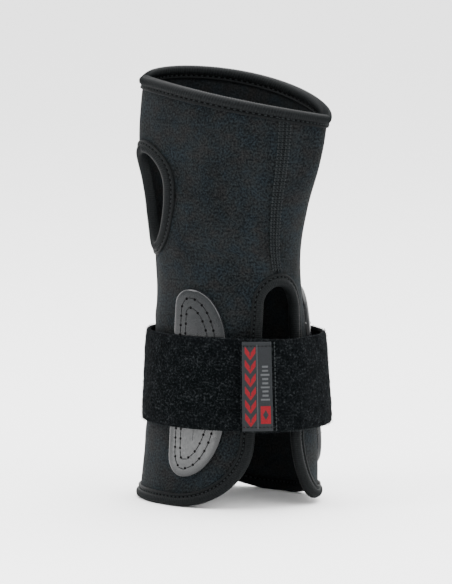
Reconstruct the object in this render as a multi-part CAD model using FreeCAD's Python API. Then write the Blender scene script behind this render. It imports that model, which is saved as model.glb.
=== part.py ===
import FreeCAD, Part
import math
import os

# Right-hand wrist guard for wearing under a snowboard glove, standing upright on its cuff hem.
# A neoprene sleeve with a finger opening, a thumb hole and an open cuff that a hook-and-loop strap closes.
# Frame: +Z from cuff to fingers, -Y the back of the hand, +X the little-finger side, -X the thumb side.
# Every surface point is given by an angle (0 = back of the hand, 90 = little-finger side) and a height.

os.makedirs("parts", exist_ok=True)

# ---- driving dimensions, millimetres and degrees ----
CLOTH = 3.0                # neoprene thickness
HEM_RAISE = 1.3            # cut edge of the cuff above the floor, filled by its binding
HAND_HEIGHT = 214.5        # mean height of the finger opening's cut edge
HAND_SLANT = 9.0           # thumb side higher, little-finger side lower
PALM_RISE = 10.5           # palm edge of the finger opening arched up
WRIST_LOW = 118.5          # lower edge of the wrist band, top of the slit
WRIST_HIGH = 130.0         # upper edge of the wrist band
SLIT_ARCH_Z = 106.0        # spring line of the slit's round top
SLIT_FLARE_Z = 38.0        # height where the slit starts to flare into the hem
BIND_WIDTH = 5.5           # binding tape on the cloth, from the cut edge
BIND_LIP = 1.3             # binding tape beyond the cut edge
BIND_SKIN = 1.2            # binding tape thickness on each face
THUMB_PHI = -63.7          # middle of the thumb hole
THUMB_HALF = 27.0          # its half width in degrees
THUMB_Z = 168.0            # its widest height
THUMB_UP = 18.0            # from the widest height to the top
THUMB_DOWN = 32.0          # from the widest height to the bottom
SPLINT_LOW = 16.0          # lower end of both splints
SPLINT_HIGH = 115.5        # upper end of both splints
SPLINT_THICK = 2.0         # moulded splint thickness
SPLINT_LIFT = 0.15         # play between cloth and splint
DORSAL_PHI = -6.5          # middle of the splint on the back of the hand
PALMAR_PHI = 128.5         # middle of the splint on the palm side
SPLINT_LEAN = 0.022         # sideways lean of both plates, per millimetre down from the wrist
STRAP_LOW = 42.5           # lower edge of the closing strap
STRAP_HIGH = 91.0          # upper edge of the closing strap
STRAP_THICK = 2.4          # hook-and-loop tape thickness
STRAP_GAP = 0.4            # gap between two strap lengths at a fold line
TAB_STEP = 3.9             # tab's outer face above the strap length it closes on
HOOK_THICK = 1.0           # hook patch under the tab
LABEL_THICK = 0.6          # woven label
THREAD = 0.45              # height of the sewing thread above its piece

MIDDLE_X = 4.77            # middle of the whole guard, so that the origin is centred under it
MIDDLE_Y = -1.01

# Outline stations of the sleeve: height, half width, half depth, middle x, middle y, edge pinch.
# The cuff is a cone, the wrist is the waist and the hand section flattens towards the fingers.
STATIONS = [
    (0.0, 49.5, 37.0, 1.7, 0.0, 0.00),
    (40.0, 46.5, 35.0, 3.2, 0.0, 0.00),
    (95.0, 41.0, 31.5, 2.6, 0.0, 0.00),
    (130.0, 40.0, 28.5, 1.0, 0.0, 0.05),
    (155.0, 44.3, 26.0, 0.8, -0.5, 0.12),
    (190.0, 51.8, 23.0, 3.3, -1.5, 0.25),
    (225.0, 52.9, 21.5, 6.9, -2.0, 0.32),
]


def station(z, column):
    """One outline measure at height z: a smooth curve through the stations, straight beyond the ends."""
    zs = [row[0] for row in STATIONS]
    vs = [row[column] for row in STATIONS]
    last = len(zs) - 1
    slopes = []
    for i in range(last + 1):
        low = max(0, i - 1)
        high = min(last, i + 1)
        slopes.append((vs[high] - vs[low]) / (zs[high] - zs[low]))
    if z <= zs[0]:
        return vs[0] + (z - zs[0]) * slopes[0]
    if z >= zs[last]:
        return vs[last] + (z - zs[last]) * slopes[last]
    i = 0
    while zs[i + 1] < z:
        i += 1
    h = zs[i + 1] - zs[i]
    t = (z - zs[i]) / h
    start = (2 * t ** 3 - 3 * t * t + 1) * vs[i] + (t ** 3 - 2 * t * t + t) * slopes[i] * h
    end = (3 * t * t - 2 * t ** 3) * vs[i + 1] + (t ** 3 - t * t) * slopes[i + 1] * h
    return start + end


def oval_point(phi, a, b, cx, cy, pinch, off, z):
    """Point on a pinched oval, moved outwards by off along its normal."""
    f = math.radians(phi)
    s = math.sin(f)
    c = math.cos(f)
    dx = a * c
    dy = b * s * (1 - pinch * s * s) + 2 * b * pinch * s * c * c
    run = math.hypot(dx, dy)
    x = cx - MIDDLE_X + a * s + off * dy / run
    y = cy - MIDDLE_Y - b * c * (1 - pinch * s * s) - off * dx / run
    return FreeCAD.Vector(x, y, z)


def sleeve_point(phi, z, off):
    """Point on the sleeve's outer face, off millimetres further out."""
    return oval_point(phi, station(z, 1), station(z, 2), station(z, 3), station(z, 4), station(z, 5), off, z)


def strap_point(phi, z, off):
    """Point on the closed strap's outer face: a looser, steeper cone round the cuff and both splints."""
    t = (z - STRAP_LOW) / (STRAP_HIGH - STRAP_LOW)
    return oval_point(phi, 52.2 - 3.0 * t, 41.2 - 3.0 * t, 6.0 - 0.3 * t, 0.0, 0.0, off, z)


def tab_point(phi, z, off):
    """Strap surface that climbs by TAB_STEP over the strap's own start, where the tab closes on it."""
    t = min(1.0, max(0.0, (80.0 - phi) / 34.0))
    return strap_point(phi, z, off + TAB_STEP * t * t * (3 - 2 * t))


def smooth_bump(phi, middle, half):
    """One at the middle angle, easing to nothing half a width away."""
    away = (phi - middle + 180.0) % 360.0 - 180.0
    if abs(away) >= half:
        return 0.0
    return math.cos(math.radians(90.0 * away / half)) ** 2


def hem_lift(phi):
    """The hem arches up where the palm cloth curves in: once towards the thumb side, once at the flap."""
    return 6.0 * smooth_bump(phi, 212.0, 45.0) + 4.0 * smooth_bump(phi, 112.0, 40.0)


def rim_height(phi):
    """Cut edge of the finger opening."""
    s = math.sin(math.radians(phi))
    c = math.cos(math.radians(phi))
    return HAND_HEIGHT - HAND_SLANT * s + (1.0 * c if c > 0 else -PALM_RISE * c)


def seam_phi(z):
    """The flatlock seam runs from the slit's top towards the back of the hand."""
    t = (z - WRIST_LOW) / (212.0 - WRIST_LOW)
    return 58.2 - 18.0 * t - 12.0 * t * (1 - t)



def slit_edge(side, t):
    """Cut edge of the open cuff, t from 0 at the arch top to 3 on the hem; side -1 back of hand, +1 palm."""
    if side < 0:
        top, low, hem = 40.0, 28.5, -22.0
    else:
        top, low, hem = 76.5, 63.4, 100.0
    if t <= 1.0:
        turn = math.radians(90.0 * t)
        return 58.2 + (top - 58.2) * math.sin(turn), SLIT_ARCH_Z + (WRIST_LOW - SLIT_ARCH_Z) * math.cos(turn)
    if t <= 2.0:
        f = t - 1.0
        return top + (low - top) * f, SLIT_ARCH_Z + (SLIT_FLARE_Z - SLIT_ARCH_Z) * f
    turn = math.radians(90.0 * (t - 2.0))
    drop = SLIT_FLARE_Z - HEM_RAISE
    return low + (hem - low) * (1 - math.cos(turn)), SLIT_FLARE_Z - drop * math.sin(turn)


def lifted(phi, z):
    """Height after the hem's arch, which fades out 45 mm above the hem."""
    return z + hem_lift(phi) * max(0.0, 1.0 - z / 45.0) ** 2


def interpolated(rows):
    surface = Part.BSplineSurface()
    surface.interpolate(rows)
    return surface


def solid_between(grid, point_at, off_in, off_out):
    """Closed solid over a grid of (angle, height), between two offsets of the surface point_at."""
    outer = interpolated([[point_at(phi, z, off_out) for phi, z in row] for row in grid])
    inner = interpolated([[point_at(phi, z, off_in) for phi, z in row] for row in grid])
    u0, u1, v0, v1 = outer.bounds()
    faces = [outer.toShape(), inner.toShape()]
    for pair in (
        (outer.uIso(u0), inner.uIso(u0)),
        (outer.uIso(u1), inner.uIso(u1)),
        (outer.vIso(v0), inner.vIso(v0)),
        (outer.vIso(v1), inner.vIso(v1)),
    ):
        faces.append(Part.makeRuledSurface(pair[0].toShape(), pair[1].toShape()))
    shell = Part.Shell(faces)
    shell.sewShape()
    solid = Part.Solid(shell)
    if solid.Volume < 0:
        solid.reverse()
    return solid


def cap(surfaces, corners, end):
    """End of a folded tape: three four-sided faces over its eight corners."""
    rims = [surface.vIso(surface.bounds()[2 + end]).toShape() for surface in surfaces]
    lip_out = Part.makeLine(corners[1], corners[2])
    lip_in = Part.makeLine(corners[6], corners[5])
    return [
        Part.makeRuledSurface(rims[0], rims[3]),
        Part.makeRuledSurface(lip_out, lip_in),
        Part.makeRuledSurface(rims[1], rims[2]),
    ]


def folded_tape(line_at, skin, lip, gap, edge_gap):
    """Binding tape folded over a cut edge; line_at(w) lists (angle, height) w millimetres in from the edge."""

    def face_of(widths, off):
        return interpolated([[sleeve_point(phi, z, off) for phi, z in line_at(w)] for w in widths])

    wide = (BIND_WIDTH, 0.5 * (BIND_WIDTH - lip), -lip)
    narrow = (BIND_WIDTH, 0.5 * (BIND_WIDTH - edge_gap), -edge_gap)
    surfaces = [
        face_of(wide, skin),
        face_of(wide, -CLOTH - skin),
        face_of(narrow, -CLOTH - gap),
        face_of(narrow, gap),
    ]
    edges = []
    for surface in surfaces:
        u0, u1, v0, v1 = surface.bounds()
        edges.append((surface.uIso(u0), surface.uIso(u1)))
    loop = [edges[0][0], edges[0][1], edges[1][1], edges[1][0], edges[2][0], edges[2][1], edges[3][1], edges[3][0]]
    faces = [surface.toShape() for surface in surfaces]
    for a, b in ((1, 2), (3, 4), (5, 6), (7, 0)):
        faces.append(Part.makeRuledSurface(loop[a].toShape(), loop[b].toShape()))
    faces += cap(surfaces, [curve.value(curve.FirstParameter) for curve in loop], 0)
    faces += cap(surfaces, [curve.value(curve.LastParameter) for curve in loop], 1)
    shell = Part.Shell(faces)
    shell.sewShape()
    solid = Part.Solid(shell)
    if solid.Volume < 0:
        solid.reverse()
    return solid


def spread(low, high, count):
    return [low + (high - low) * i / (count - 1.0) for i in range(count)]


def biggest(shape):
    """The largest solid of a cut, without the offcut."""
    return sorted(shape.Solids, key=lambda s: s.Volume)[-1]


def save(name, shape):
    shape.exportStep("parts/" + name + ".step")
    print(name, len(shape.Solids), round(shape.Volume, 1), shape.isValid())


# ---- neoprene sleeve ----
# Cuff: one sheet rolled round the forearm, its two long edges forming the slit.
cuff_rows = []
for t in spread(0.03, 1.0, 8) + spread(1.0, 2.0, 7)[1:] + spread(2.0, 3.0, 9)[1:]:
    phi_a, z_a = slit_edge(1, t)
    phi_b, z_b = slit_edge(-1, t)
    cuff_rows.append([(phi, lifted(phi, z_a)) for phi in spread(phi_a, phi_b + 360.0, 61)])
cuff_panel = solid_between(cuff_rows, sleeve_point, -CLOTH, 0.0)

# Wrist band: the stretch of sleeve that bends, closed by the seam.
wrist_rows = []
for z in spread(WRIST_LOW + 0.15, WRIST_HIGH - 0.15, 4):
    wrist_rows.append([(phi, z) for phi in spread(seam_phi(z) + 0.2, seam_phi(z) + 359.8, 61)])
wrist_panel = solid_between(wrist_rows, sleeve_point, -CLOTH, 0.0)

# Hand section: closed by the seam, cut by the slanting finger opening and the thumb hole.
hand_rows = []
for f in spread(0.0, 1.0, 13):
    row = []
    for turn in spread(0.2, 359.8, 61):
        base = WRIST_HIGH + 0.15
        guess = base + f * (HAND_HEIGHT - base)
        phi = seam_phi(guess) + turn
        row.append((phi, base + f * (rim_height(phi) - base)))
    hand_rows.append(row)
hand_panel = solid_between(hand_rows, sleeve_point, -CLOTH, 0.0)


def thumb_edge(turn, grow):
    """Thumb hole's edge, grown outwards over the cloth by grow millimetres."""
    s = math.sin(math.radians(turn))
    c = math.cos(math.radians(turn))
    reach = THUMB_UP if s > 0 else THUMB_DOWN
    width = math.radians(THUMB_HALF) * 36.0
    nx = c / width
    nz = s / reach
    run = math.hypot(nx, nz)
    phi = THUMB_PHI + THUMB_HALF * c + math.degrees(grow * nx / run / 36.0)
    return phi, THUMB_Z + reach * s + grow * nz / run


def plug_row(turn, scale):
    phi, z = thumb_edge(turn, 0.0)
    return THUMB_PHI + (phi - THUMB_PHI) * scale, THUMB_Z + (z - THUMB_Z) * scale


# A ring-shaped cutter frees the oval offcut; two halves so that it closes all the way round.
for first in (90.0, 270.0):
    cutter_rows = []
    for turn in spread(first - 1.0, first + 181.0, 41):
        cutter_rows.append([plug_row(turn, k) for k in (1.0, 0.8, 0.6)])
    hand_panel = biggest(hand_panel.cut(solid_between(cutter_rows, sleeve_point, -CLOTH - 3.0, 3.0)))

# ---- bindings: folded elastic tape over each cut edge ----
TAPE_PLAY = 0.36            # play between the tape and the cloth it folds over
EDGE_PLAY = 0.40            # play between the cut edge and the fold


def thumb_line(w):
    return [thumb_edge(turn, w) for turn in spread(90.0, 449.0, 73)]


def rim_line(w):
    line = []
    for turn in spread(0.4, 359.6, 91):
        phi = seam_phi(HAND_HEIGHT) + turn
        line.append((phi, rim_height(phi) - w))
    return line


thumb_binding = folded_tape(thumb_line, BIND_SKIN, BIND_LIP, TAPE_PLAY, EDGE_PLAY)
finger_binding = folded_tape(rim_line, BIND_SKIN, BIND_LIP, TAPE_PLAY, EDGE_PLAY)


def cuff_path():
    """Cut edge of the cuff, once round: arch, back-of-hand edge, hem, palm edge, back to the arch."""
    path = [slit_edge(-1, t) for t in spread(0.03, 1.0, 30) + spread(1.0, 3.0, 81)[1:]]
    path += [(phi - 360.0, z) for phi, z in [slit_edge(1, t) for t in spread(3.0, 1.0, 81)]]
    path += [(phi - 360.0, z) for phi, z in [slit_edge(1, t) for t in spread(1.0, 0.03, 30)[1:]]]
    return evenly(path, 131)


def evenly(path, count):
    """The same path with count points at equal distances along it, measured on the unrolled cloth."""
    reach = [0.0]
    for p, q in zip(path, path[1:]):
        reach.append(reach[-1] + math.hypot((q[0] - p[0]) * 0.70, q[1] - p[1]))
    even = []
    i = 0
    for target in spread(0.0, reach[-1], count):
        while i < len(path) - 2 and reach[i + 1] < target:
            i += 1
        f = (target - reach[i]) / (reach[i + 1] - reach[i])
        even.append((path[i][0] + f * (path[i + 1][0] - path[i][0]), path[i][1] + f * (path[i + 1][1] - path[i][1])))
    return even


def beside(path, side):
    """Points side millimetres to the right of the travelled path, measured on the unrolled cloth."""
    moved = []
    scale = 0.70
    for i, (phi, z) in enumerate(path):
        p = path[max(0, i - 1)]
        q = path[min(len(path) - 1, i + 1)]
        ds = (q[0] - p[0]) * scale
        dz = q[1] - p[1]
        run = math.hypot(ds, dz)
        moved.append((phi + side * dz / run / scale, z - side * ds / run))
    return moved


edge_path = cuff_path()


def cuff_line(w):
    return [(phi, lifted(phi, z)) for phi, z in beside(edge_path, w)]


cuff_binding = folded_tape(cuff_line, BIND_SKIN, BIND_LIP, TAPE_PLAY, EDGE_PLAY)

# ---- splints ----


def quarter(cs, cz, rs, rz, first):
    """Quarter of an ellipse drawn clockwise from the angle first."""
    ring = []
    for i in range(7):
        t = math.radians(first - 15.0 * i)
        ring.append((cs + rs * math.cos(t), cz + rz * math.sin(t)))
    return ring


def splint_outline(inset, ends):
    """Straight on one side, sweeping to a curve on the other; inset moves it inwards, and ends its tips more."""
    low = SPLINT_LOW + inset + ends
    high = SPLINT_HIGH - inset - ends
    line = quarter(-7.0, high - 8.5 + inset * 0.3, 9.0 - inset, 8.5 - inset * 0.3, 180.0)
    line += quarter(-7.0, high - 32.0, 21.0 - inset, 32.0, 90.0)
    line += quarter(-7.0, low + 33.0, 22.2 - inset, 33.0, 0.0)
    line += quarter(-7.0, low + 11.0 - inset * 0.3, 9.0 - inset, 11.0 - inset * 0.3, 270.0)
    return line


def splint_prism(middle, mirror, inset, ends=0.0):
    """Outline pushed out through the wall at the given angle."""
    f = math.radians(middle)
    centre = sleeve_point(middle, 66.0, -0.55 * station(66.0, 2))
    edges = []
    points = []
    for s, z in splint_outline(inset, ends):
        s = s * mirror + SPLINT_LEAN * (z - 100.0)
        x = centre.x + s * math.cos(f)
        y = centre.y + s * math.sin(f)
        points.append(FreeCAD.Vector(x, y, z))
    arcs = [points[0:7], points[7:14], points[14:21], points[21:28]]
    for i, arc in enumerate(arcs):
        curve = Part.BSplineCurve()
        curve.interpolate(arc)
        edges.append(curve.toShape())
        follow = arcs[(i + 1) % 4][0]
        if arc[-1].distanceToPoint(follow) > 0.001:
            edges.append(Part.makeLine(arc[-1], follow))
    face = Part.Face(Part.Wire(edges))
    return face.extrude(FreeCAD.Vector(math.sin(f) * 45.0, -math.cos(f) * 45.0, 0))


def splint_layer(middle, off_in, off_out):
    rows = []
    for z in spread(SPLINT_LOW - 4.0, SPLINT_HIGH + 3.0, 9):
        rows.append([(phi, z) for phi in spread(middle - 36.0, middle + 36.0, 13)])
    return solid_between(rows, sleeve_point, off_in, off_out)


SPLINT_TOP = SPLINT_LIFT + SPLINT_THICK
splints = {}
for side, middle, mirror in (("dorsal", DORSAL_PHI, 1.0), ("palmar", PALMAR_PHI, -1.0)):
    plate = splint_layer(middle, SPLINT_LIFT, SPLINT_TOP).common(splint_prism(middle, mirror, 0.0))
    # where the binding's tape passes it, the plate keeps clear
    splints[side] = biggest(plate.cut(cuff_binding))
    save(side + "_splint", splints[side])
    thread_skin = splint_layer(middle, SPLINT_TOP + 0.02, SPLINT_TOP + THREAD)
    for row_name, inset, ends in (("outer", 4.2, 0.1), ("inner", 7.3, 1.9)):
        ring = thread_skin.common(splint_prism(middle, mirror, inset, ends))
        ring = ring.cut(splint_prism(middle, mirror, inset + 0.8, ends))
        save(side + "_splint_" + row_name + "_thread", biggest(ring))

# ---- seam thread: four needle rows worked as one flat ribbon over the butted edges ----
ribbon_rows = []
for z in spread(WRIST_HIGH + 1.0, 206.5, 12):
    width = 2.7 / 0.78
    ribbon_rows.append([(seam_phi(z) + k * width, z) for k in (-1.0, 0.0, 1.0)])
seam_thread = solid_between(ribbon_rows, sleeve_point, 0.05, 0.05 + THREAD)
seam_thread = biggest(seam_thread.cut(finger_binding))

# ---- closing strap ----
FOLD_A = 128.0             # palm-side fold, where the strap leaves its anchoring
FOLD_B = 88.0              # little-finger edge fold
FOLD_C = 43.5              # fold behind the tab
TAB_END = 18.5             # free end of the tab
FIXED_END = 37.0           # start of the strap, under the tab
STRAP_RISE = spread(STRAP_LOW, STRAP_HIGH, 5)
HALF_GAP = math.degrees(0.5 * STRAP_GAP / 48.0)


def strap_length(phi_a, phi_b, point_at, off_in, off_out, z_low, z_high, columns):
    rows = []
    for z in spread(z_low, z_high, 5):
        rows.append([(phi, z) for phi in spread(phi_a, phi_b, columns)])
    return solid_between(rows, point_at, off_in, off_out)


strap_fixed = strap_length(FOLD_A + HALF_GAP, FIXED_END + 360.0, strap_point, -STRAP_THICK, 0.0,
                           STRAP_LOW, STRAP_HIGH, 49)
strap_ulnar = strap_length(FOLD_B + HALF_GAP, FOLD_A - HALF_GAP, tab_point, -STRAP_THICK, 0.0,
                           STRAP_LOW, STRAP_HIGH, 9)
strap_bridge = strap_length(FOLD_C + HALF_GAP, FOLD_B - HALF_GAP, tab_point, -STRAP_THICK, 0.0,
                            STRAP_LOW, STRAP_HIGH, 11)
strap_tab = strap_length(TAB_END, FOLD_C - HALF_GAP, tab_point, -STRAP_THICK, 0.0,
                         STRAP_LOW, STRAP_HIGH, 7)
hook_patch = strap_length(TAB_END + 1.0, 35.0, tab_point, -STRAP_THICK - HOOK_THICK, -STRAP_THICK,
                          STRAP_LOW + 1.5, STRAP_HIGH - 1.5, 5)
label = strap_length(19.6, 37.2, tab_point, 0.02, LABEL_THICK, STRAP_LOW + 0.8, STRAP_HIGH - 0.8, 5)
for name, middle in (("label_upper_thread", STRAP_HIGH - 3.0), ("label_lower_thread", STRAP_LOW + 3.0)):
    bar = strap_length(20.4, 36.4, tab_point, LABEL_THICK + 0.02, LABEL_THICK + THREAD,
                       middle - 0.5, middle + 0.5, 5)
    save(name, bar)
tab_thread = strap_length(38.4, 39.6, tab_point, 0.02, THREAD, STRAP_LOW + 2.0, STRAP_HIGH - 2.0, 3)

# Box of stitching that anchors the strap to the palm side of the cuff.
anchor = strap_length(196.0, 224.0, strap_point, 0.02, THREAD, 50.0, 83.5, 7)
hole = strap_length(197.4, 222.6, strap_point, -1.0, 2.0, 51.2, 82.3, 7)
anchor_thread = biggest(anchor.cut(hole))

save("cuff_panel", cuff_panel)
save("wrist_panel", wrist_panel)
save("hand_panel", hand_panel)
save("cuff_binding", cuff_binding)
save("finger_binding", finger_binding)
save("thumb_binding", thumb_binding)
save("seam_thread", seam_thread)
save("strap_fixed", strap_fixed)
save("strap_ulnar", strap_ulnar)
save("strap_bridge", strap_bridge)
save("strap_tab", strap_tab)
save("hook_patch", hook_patch)
save("label", label)
save("tab_thread", tab_thread)
save("anchor_thread", anchor_thread)
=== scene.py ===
import bmesh
import bpy
import math
import numpy as np
from mathutils import Matrix, Vector, noise


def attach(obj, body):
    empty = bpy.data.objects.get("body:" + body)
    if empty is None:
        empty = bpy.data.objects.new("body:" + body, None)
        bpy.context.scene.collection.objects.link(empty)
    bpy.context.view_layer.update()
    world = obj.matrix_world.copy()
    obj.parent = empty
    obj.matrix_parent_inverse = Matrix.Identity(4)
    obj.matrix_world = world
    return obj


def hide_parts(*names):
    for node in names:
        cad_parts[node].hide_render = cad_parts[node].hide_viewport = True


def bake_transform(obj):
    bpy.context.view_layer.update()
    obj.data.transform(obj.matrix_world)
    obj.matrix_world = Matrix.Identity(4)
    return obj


# Right-hand wrist guard: detailed soft pieces over the rigid frame. Lengths are written in millimetres and
# turned into metres when a mesh is made. Angles: 0 = back of the hand, 90 = little-finger side.
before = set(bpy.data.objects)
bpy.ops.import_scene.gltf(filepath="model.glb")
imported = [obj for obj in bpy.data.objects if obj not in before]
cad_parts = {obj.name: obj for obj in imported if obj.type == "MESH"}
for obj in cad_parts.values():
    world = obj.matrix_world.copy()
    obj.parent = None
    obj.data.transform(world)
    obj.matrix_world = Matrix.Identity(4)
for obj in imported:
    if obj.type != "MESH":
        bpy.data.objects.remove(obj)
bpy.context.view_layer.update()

# sizes of the rigid model, in millimetres and degrees
MIDDLE_X = 4.77
MIDDLE_Y = -1.01
CLOTH = 3.0
HEM_RAISE = 1.3
HAND_HEIGHT = 214.5
WRIST_LOW = 118.5
SLIT_ARCH_Z = 106.0
SLIT_FLARE_Z = 38.0
THUMB_PHI = -63.7
THUMB_HALF = 27.0
THUMB_Z = 168.0
THUMB_UP = 18.0
THUMB_DOWN = 32.0
STRAP_LOW = 42.5
STRAP_HIGH = 91.0
STRAP_MIDDLE = 0.5 * (STRAP_LOW + STRAP_HIGH)
STRAP_THICK = 2.4
TAB_STEP = 3.9
SPLINT_LOW = 16.0
SPLINT_HIGH = 115.5
SPLINT_LEAN = 0.022
DORSAL_PHI = -6.5
PALMAR_PHI = 128.5

# outline stations: height, half width, half depth, middle x, middle y, edge pinch
STATIONS = np.array([
    (0.0, 49.5, 37.0, 1.7, 0.0, 0.00),
    (40.0, 46.5, 35.0, 3.2, 0.0, 0.00),
    (95.0, 41.0, 31.5, 2.6, 0.0, 0.00),
    (130.0, 40.0, 28.5, 1.0, 0.0, 0.05),
    (155.0, 44.3, 26.0, 0.8, -0.5, 0.12),
    (190.0, 51.8, 23.0, 3.3, -1.5, 0.25),
    (225.0, 52.9, 21.5, 6.9, -2.0, 0.32),
])


# ---------------------------------------------------------------- shape
def station(z, column):
    """Outline measure at height z: the same smooth curve as the rigid model's."""
    zs = STATIONS[:, 0]
    vs = STATIONS[:, column]
    last = len(zs) - 1
    slopes = np.array([(vs[min(last, i + 1)] - vs[max(0, i - 1)]) / (zs[min(last, i + 1)] - zs[max(0, i - 1)])
                       for i in range(last + 1)])
    z = np.asarray(z, float)
    i = np.clip(np.searchsorted(zs, z, side="right") - 1, 0, last - 1)
    h = zs[i + 1] - zs[i]
    t = (z - zs[i]) / h
    t2 = t * t
    t3 = t2 * t
    inside = ((2 * t3 - 3 * t2 + 1) * vs[i] + (t3 - 2 * t2 + t) * slopes[i] * h
              + (3 * t2 - 2 * t3) * vs[i + 1] + (t3 - t2) * slopes[i + 1] * h)
    below = vs[0] + (z - zs[0]) * slopes[0]
    above = vs[last] + (z - zs[last]) * slopes[last]
    return np.where(z <= zs[0], below, np.where(z >= zs[last], above, inside))


def oval(phi, a, b, cx, cy, pinch, off, z):
    f = np.radians(phi)
    s = np.sin(f)
    c = np.cos(f)
    dx = a * c
    dy = b * s * (1 - pinch * s * s) + 2 * b * pinch * s * c * c
    run = np.hypot(dx, dy)
    x = cx - MIDDLE_X + a * s + off * dy / run
    y = cy - MIDDLE_Y - b * c * (1 - pinch * s * s) - off * dx / run
    return np.stack(np.broadcast_arrays(x, y, z), axis=-1).astype(float)


def sleeve(phi, z, off=0.0):
    return oval(phi, station(z, 1), station(z, 2), station(z, 3), station(z, 4), station(z, 5), off, z)


def strap_face(phi, z, off=0.0):
    t = (z - STRAP_LOW) / (STRAP_HIGH - STRAP_LOW)
    return oval(phi, 52.2 - 3.0 * t, 41.2 - 3.0 * t, 6.0 - 0.3 * t, 0.0, 0.0, off, z)


def tab_face(phi, z, off=0.0):
    t = np.clip((80.0 - phi) / 34.0, 0.0, 1.0)
    return strap_face(phi, z, off + TAB_STEP * t * t * (3 - 2 * t))


def bump_at(phi, middle, half):
    away = np.mod(np.asarray(phi) - middle + 180.0, 360.0) - 180.0
    return np.where(np.abs(away) < half, np.cos(np.radians(90.0 * np.clip(away / half, -1, 1))) ** 2, 0.0)


def lifted(phi, z):
    lift = 6.0 * bump_at(phi, 212.0, 45.0) + 4.0 * bump_at(phi, 112.0, 40.0)
    return z + lift * np.clip(1.0 - z / 45.0, 0.0, None) ** 2


def rim_height(phi):
    s = np.sin(np.radians(phi))
    c = np.cos(np.radians(phi))
    return HAND_HEIGHT - 9.0 * s + np.where(c > 0, 1.0 * c, -10.5 * c)


def seam_phi(z):
    t = (z - WRIST_LOW) / (212.0 - WRIST_LOW)
    return 58.2 - 18.0 * t - 12.0 * t * (1 - t)


def slit_edge(side, t):
    """Cut edge of the open cuff: t 0 to 1 the round top, 1 to 2 the side, 2 to 3 the rounded corner."""
    top, low, hem = (40.0, 28.5, -22.0) if side < 0 else (76.5, 63.4, 100.0)
    t = np.asarray(t, float)
    a = np.radians(90.0 * np.clip(t, 0, 1))
    f = np.clip(t - 1.0, 0, 1)
    b = np.radians(90.0 * np.clip(t - 2.0, 0, 1))
    drop = SLIT_FLARE_Z - HEM_RAISE
    phi = np.where(t <= 1, 58.2 + (top - 58.2) * np.sin(a),
                   np.where(t <= 2, top + (low - top) * f, low + (hem - low) * (1 - np.cos(b))))
    straight = SLIT_ARCH_Z + (SLIT_FLARE_Z - SLIT_ARCH_Z) * f
    z = np.where(t <= 1, SLIT_ARCH_Z + (WRIST_LOW - SLIT_ARCH_Z) * np.cos(a),
                 np.where(t <= 2, straight, SLIT_FLARE_Z - drop * np.sin(b)))
    return phi, z


# ---------------------------------------------------------------- mesh helpers
def new_piece(name, verts, faces, uv, material, extra=()):
    """Mesh object from millimetre points; uv holds millimetres along and across the piece."""
    mesh = bpy.data.meshes.new(name)
    mesh.from_pydata((np.asarray(verts) * 0.001).tolist(), [], [list(map(int, f)) for f in faces])
    layer = mesh.uv_layers.new(name="cloth_mm")
    index = np.empty(len(mesh.loops), dtype=np.int32)
    mesh.loops.foreach_get("vertex_index", index)
    layer.data.foreach_set("uv", (np.asarray(uv, float)[index] * 0.01).ravel())
    mesh.materials.append(material)
    for more in extra:
        mesh.materials.append(more)
    mesh.polygons.foreach_set("use_smooth", [True] * len(mesh.polygons))
    mesh.update()
    obj = bpy.data.objects.new(name, mesh)
    bpy.context.scene.collection.objects.link(obj)
    return obj


def grid_faces(rows, columns, wrap_rows=False, wrap_columns=False, first=0):
    r = np.arange(rows if wrap_rows else rows - 1)
    c = np.arange(columns if wrap_columns else columns - 1)
    rr, cc = np.meshgrid(r, c, indexing="ij")
    rn = (rr + 1) % rows
    cn = (cc + 1) % columns
    faces = np.stack([rr * columns + cc, rr * columns + cn, rn * columns + cn, rn * columns + cc], axis=-1)
    return faces.reshape(-1, 4) + first


def wobble(points, size, seed):
    """Smooth noise, about -1 to 1, at points in millimetres."""
    shift = Vector((seed * 13.1, seed * 7.7, seed * 3.3))
    flat = points.reshape(-1, 3)
    out = np.array([noise.noise(Vector(p) / size + shift) for p in flat])
    return out.reshape(points.shape[:-1])


def capsules(name, centres, along, normal, length, radius, material, rise=0.0):
    """Many small sewing stitches as one mesh: six-sided capsules that bow up from the cloth."""
    centres = np.asarray(centres, float)
    d = np.asarray(along, float)
    d = d / np.linalg.norm(d, axis=1, keepdims=True)
    n = np.asarray(normal, float)
    n = n - (n * d).sum(1, keepdims=True) * d
    n = n / np.linalg.norm(n, axis=1, keepdims=True)
    b = np.cross(d, n)
    length = np.broadcast_to(length, len(centres))[:, None]
    rings = ((-0.5, 0.30, -0.6), (-0.34, 0.85, 0.1), (0.0, 1.0, 0.45), (0.34, 0.85, 0.1), (0.5, 0.30, -0.6))
    verts = []
    for f, r, up in rings:
        for k in range(6):
            t = math.radians(60.0 * k)
            verts.append(centres + d * length * f + b * (radius * r * math.cos(t))
                         + n * (radius * (0.8 * r * math.sin(t) + up) + rise))
    verts = np.stack(verts, axis=1)
    count = len(centres)
    faces = []
    for i in range(len(rings) - 1):
        for k in range(6):
            m = (k + 1) % 6
            faces.append((6 * i + k, 6 * i + m, 6 * i + 6 + m, 6 * i + 6 + k))
    base = np.array(faces)
    every = (base[None] + (np.arange(count) * 30)[:, None, None]).reshape(-1, 4)
    caps = []
    for i in range(count):
        caps.append([30 * i + k for k in (5, 4, 3, 2, 1, 0)])
        caps.append([30 * i + 24 + k for k in range(6)])
    flat = verts.reshape(-1, 3)
    return new_piece(name, flat, [list(f) for f in every] + caps, flat[:, [0, 2]], material)


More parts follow.
